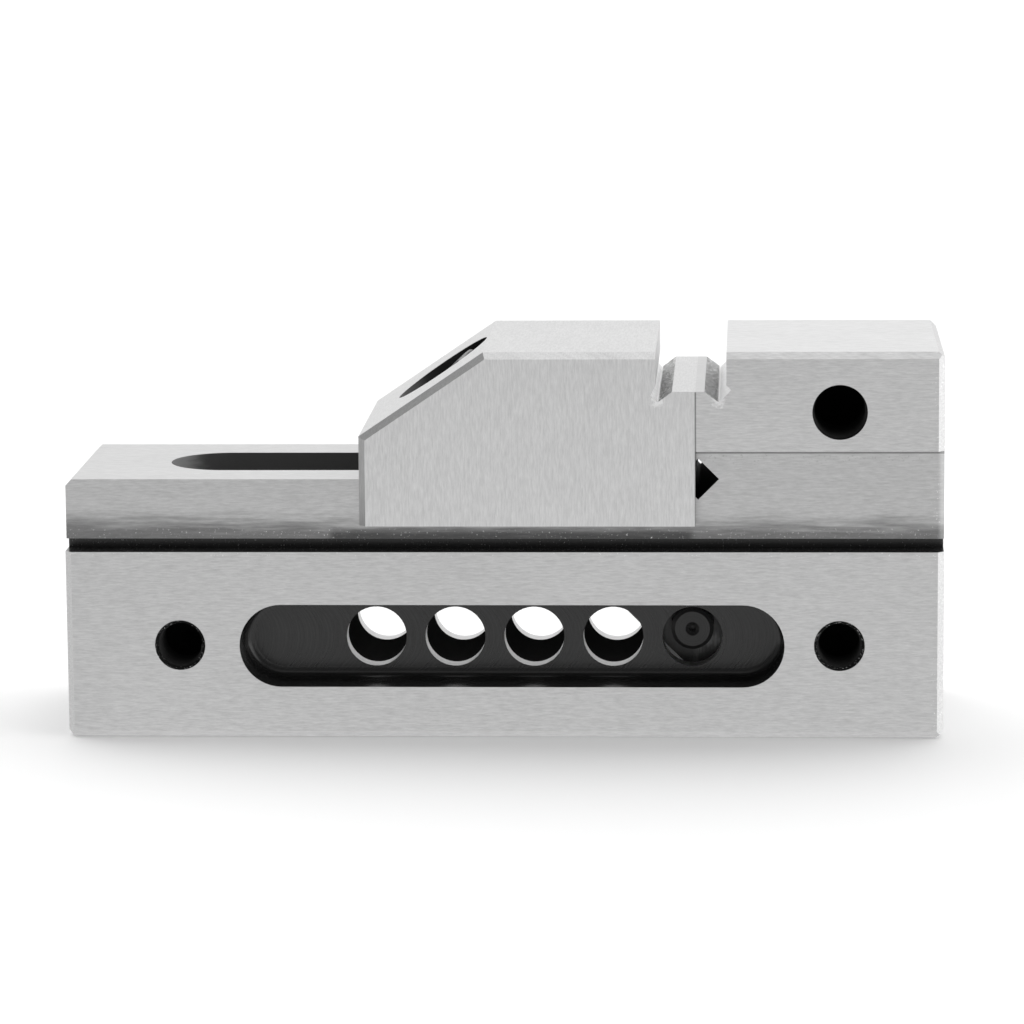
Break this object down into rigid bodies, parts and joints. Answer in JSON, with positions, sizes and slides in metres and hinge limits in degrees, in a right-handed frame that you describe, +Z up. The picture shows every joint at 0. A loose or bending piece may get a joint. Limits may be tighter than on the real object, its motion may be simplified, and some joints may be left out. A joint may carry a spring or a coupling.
{
  "type": "precision toolmaker's vise",
  "caption": "Ground steel toolmaker's vise with stepped jaws, saddle moving jaw, slanted draw screw and a cross pin set in side pockets.",
  "frame": {"origin": "centre of the bottom face, under the middle of the body, with the jaws closed", "axes": "+X along the rail towards the fixed jaw, +Y from the pictured front to the back, +Z up"},
  "size_m": [0.165, 0.05, 0.073],
  "materials": {
    "ground_steel": "surface ground along the length, with blackened pockets, grooves and holes",
    "jaw_steel": "surface ground upwards, fine grain",
    "black_oxide": "black oxide, lightly oiled",
    "washer_steel": "hardened and turned",
    "nut_steel": "blackened, milled",
    "pin_steel": "black oxide over turning marks"
  },
  "bodies": {
    "base": {"base_body": "ground_steel", "fixed_jaw": "ground_steel"},
    "jaw": {"moving_jaw": "jaw_steel"},
    "nut": {"draw_nut": "nut_steel", "pin_set_screw": "black_oxide"},
    "washer": {"ball_washer": "washer_steel"},
    "screw": {"clamp_screw": "black_oxide"},
    "pin": {"cross_pin": "pin_steel"}
  },
  "joints": [
    {"name": "jaw_slide", "type": "slide", "parent": "base", "child": "jaw", "axis": [-1, 0, 0], "range_m": [0, 0.015]},
    {"name": "nut_swing", "type": "hinge", "parent": "base", "child": "nut", "pos_m": [0.0354, 0, 0.01915], "axis": [0, -1, 0], "range_deg": [0, 8.2]},
    {"name": "washer_ride", "type": "slide", "parent": "nut", "child": "washer", "axis": [-0.7071, 0, 0.7071], "range_m": [0, 0.0113]},
    {"name": "screw_turn", "type": "hinge", "parent": "washer", "child": "screw", "pos_m": [-0.01115, 0, 0.0657], "axis": [-0.7071, 0, 0.7071], "range_deg": [0, 3240]},
    {"name": "pin_draw", "type": "slide", "parent": "nut", "child": "pin", "axis": [0, -1, 0], "range_m": [0, 0.023]}
  ],
  "couplings": [
    {"joint": "nut_swing", "follows": "jaw_slide", "rad_per_m": 9.4161},
    {"joint": "washer_ride", "follows": "jaw_slide", "ratio": 0.74595},
    {"joint": "screw_turn", "follows": "jaw_slide", "rad_per_m": 3749.6}
  ]
}
